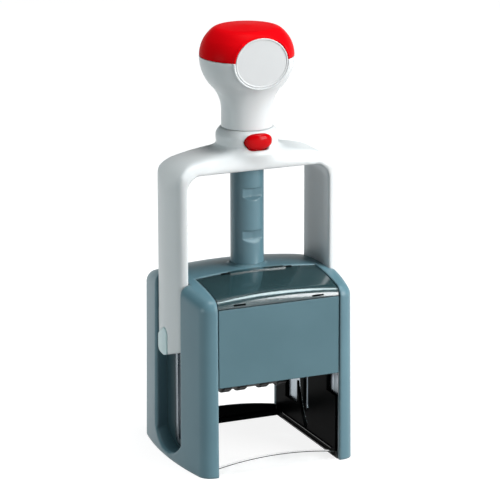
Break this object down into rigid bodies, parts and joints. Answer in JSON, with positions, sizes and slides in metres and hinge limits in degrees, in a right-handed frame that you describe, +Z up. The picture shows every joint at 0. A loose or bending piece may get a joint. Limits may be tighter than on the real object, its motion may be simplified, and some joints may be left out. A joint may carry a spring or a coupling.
{
  "type": "self-inking date stamp",
  "caption": "Self-inking date stamp: sprung yoke handle with round knob slides on a post and turns an inverting die carrier over through cam slots inside an open-front casing.",
  "frame": {"origin": "middle of the base on the desk", "axes": "+Z up along the guide post, the front with the panel faces -Y, the handle's legs stand at -X and +X"},
  "size_m": [0.0798, 0.0726, 0.194],
  "materials": {
    "band_rubber": "band rubber",
    "bush_dark": "matt dark grey",
    "button_red": "glossy red",
    "casing_grey": "satin moulded, grey-teal",
    "channel_grey": "matt dark teal",
    "clip_mint": "pale mint",
    "die_rubber": "stamp rubber",
    "frame_steel": "bright stamped steel",
    "handle_white": "satin white",
    "ink_felt": "inked felt",
    "inner_black": "fine matt black",
    "knob_red": "glossy red",
    "label_white": "bare white",
    "panel_grey": "satin moulded, grey-teal, a shade lighter",
    "pin_steel": "ground pin",
    "rod_plastic": "matt light grey",
    "screw_steel": "plain steel",
    "sill_clear": "clear plastic",
    "smoked_clear": "glossy smoked clear plastic",
    "spring_steel": "drawn spring wire",
    "wheel_plastic": "matt black"
  },
  "bodies": {
    "casing_base": {"outer_casing": "casing_grey", "base_sole": "inner_black", "front_sill": "sill_clear", "right_side_panel": "channel_grey", "left_side_panel": "channel_grey", "right_cam_plate": "frame_steel", "left_cam_plate": "frame_steel", "right_side_liner": "inner_black", "left_side_liner": "inner_black", "frame_bridge": "frame_steel", "bridge_screws": "screw_steel", "post_screw": "screw_steel", "front_panel": "panel_grey", "top_window": "smoked_clear", "index_shelf": "inner_black", "guide_post": "casing_grey"},
    "handle": {"yoke": "handle_white", "right_leg_clip": "clip_mint", "left_leg_clip": "clip_mint", "right_pivot_pin": "pin_steel", "left_pivot_pin": "pin_steel", "post_bush": "bush_dark", "knob_shell": "handle_white", "knob_cap": "knob_red", "label_disc": "label_white", "guide_rod": "rod_plastic", "main_spring": "spring_steel"},
    "latch_button": {"lock_button": "button_red"},
    "die_carrier": {"carrier_frame": "inner_black", "die_plate": "inner_black", "rubber_die": "die_rubber", "cam_pins": "pin_steel", "wheel_axle": "pin_steel", "band_former": "inner_black", "axle_spacers": "inner_black", "tens_band": "band_rubber", "units_band": "band_rubber", "month_band": "band_rubber", "year_band": "band_rubber"},
    "ink_cartridge": {"pad_tray": "inner_black", "ink_pad": "ink_felt"},
    "tens_wheel_set": {"tens_wheel": "wheel_plastic"},
    "units_wheel_set": {"units_wheel": "wheel_plastic"},
    "month_wheel_set": {"month_wheel": "wheel_plastic"},
    "year_wheel_set": {"year_wheel": "wheel_plastic"}
  },
  "joints": [
    {"name": "handle_press", "type": "slide", "parent": "casing_base", "child": "handle", "axis": [0, 0, 1], "range_m": [-0.039, 0], "stiffness_N_per_m": 200, "springref_m": 0.05, "deforming": ["main_spring"]},
    {"name": "die_turn", "type": "hinge", "parent": "handle", "child": "die_carrier", "pos_m": [0, 0, 0.0535], "axis": [1, 0, 0], "range_deg": [-180, 0]},
    {"name": "latch_push", "type": "slide", "parent": "handle", "child": "latch_button", "axis": [0, 1, 0], "range_m": [0, 0.0018], "stiffness_N_per_m": 300, "springref_m": -0.001},
    {"name": "cartridge_slide", "type": "slide", "parent": "casing_base", "child": "ink_cartridge", "axis": [0, 1, 0], "range_m": [0, 0.055]},
    {"name": "tens_wheel_turn", "type": "hinge", "parent": "die_carrier", "child": "tens_wheel_set", "pos_m": [0, 0, 0.035], "axis": [1, 0, 0], "continuous": true},
    {"name": "units_wheel_turn", "type": "hinge", "parent": "die_carrier", "child": "units_wheel_set", "pos_m": [0, 0, 0.035], "axis": [1, 0, 0], "continuous": true},
    {"name": "month_wheel_turn", "type": "hinge", "parent": "die_carrier", "child": "month_wheel_set", "pos_m": [0, 0, 0.035], "axis": [1, 0, 0], "continuous": true},
    {"name": "year_wheel_turn", "type": "hinge", "parent": "die_carrier", "child": "year_wheel_set", "pos_m": [0, 0, 0.035], "axis": [1, 0, 0], "continuous": true}
  ],
  "couplings": [
    {"joint": "die_turn", "follows": "handle_press", "rad_per_m": 80.55}
  ]
}
